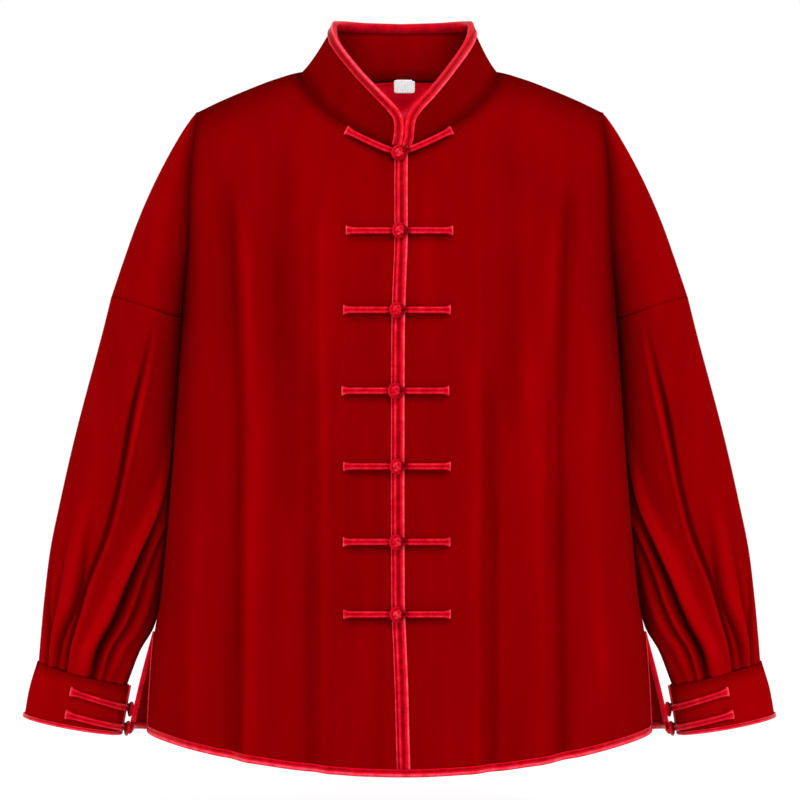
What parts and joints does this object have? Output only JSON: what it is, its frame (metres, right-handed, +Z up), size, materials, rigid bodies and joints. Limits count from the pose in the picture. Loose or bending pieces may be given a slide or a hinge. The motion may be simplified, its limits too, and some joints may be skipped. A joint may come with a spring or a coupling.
{
  "type": "tai chi jacket",
  "caption": "Velvet tai chi jacket, hollow as if worn: stand collar, knotted front fastenings, gathered long sleeves in deep cuffs, satin-bound edges.",
  "frame": {"origin": "in the middle of the neck, at the height where the collar leaves the shoulders at its sides: the place where the garment is held by the wearer", "axes": "+X to the wearer's left (the viewer's right), +Y from front to back, +Z up"},
  "size_m": [0.7584, 0.2201, 0.7461],
  "materials": {
    "velvet": "deep red velvet, short dense pile with a soft nap",
    "satin": "bright red satin bias binding, folded and edge-stitched",
    "cord": "bright red satin cord, knotted, bars sewn down",
    "lining": "red satin lining, shown inside the back of the neck",
    "label": "blank woven label, off-white"
  },
  "bodies": {
    "root": {"back": "velvet", "binding_collar": "satin", "binding_cuff_left": "satin", "binding_cuff_opening_back_left": "satin", "binding_cuff_opening_back_right": "satin", "binding_cuff_opening_front_left": "satin", "binding_cuff_opening_front_right": "satin", "binding_cuff_right": "satin", "binding_front_left": "satin", "binding_front_right": "satin", "binding_hem_back": "satin", "binding_hem_front_left": "satin", "binding_hem_front_right": "satin", "binding_slit_back_left": "satin", "binding_slit_back_right": "satin", "binding_slit_front_left": "satin", "binding_slit_front_right": "satin", "collar": "velvet", "cuff_left": "velvet", "cuff_right": "velvet", "frog_1_knot": "cord", "frog_1_loop": "cord", "frog_2_knot": "cord", "frog_2_loop": "cord", "frog_3_knot": "cord", "frog_3_loop": "cord", "frog_4_knot": "cord", "frog_4_loop": "cord", "frog_5_knot": "cord", "frog_5_loop": "cord", "frog_6_knot": "cord", "frog_6_loop": "cord", "frog_7_knot": "cord", "frog_7_loop": "cord", "frog_cuff_left_1_knot": "cord", "frog_cuff_left_1_loop": "cord", "frog_cuff_left_2_knot": "cord", "frog_cuff_left_2_loop": "cord", "frog_cuff_right_1_knot": "cord", "frog_cuff_right_1_loop": "cord", "frog_cuff_right_2_knot": "cord", "frog_cuff_right_2_loop": "cord", "front_left": "velvet", "front_right": "velvet", "label": "label", "lining_back_neck": "lining", "sleeve_left": "velvet", "sleeve_right": "velvet"}
  },
  "joints": []
}
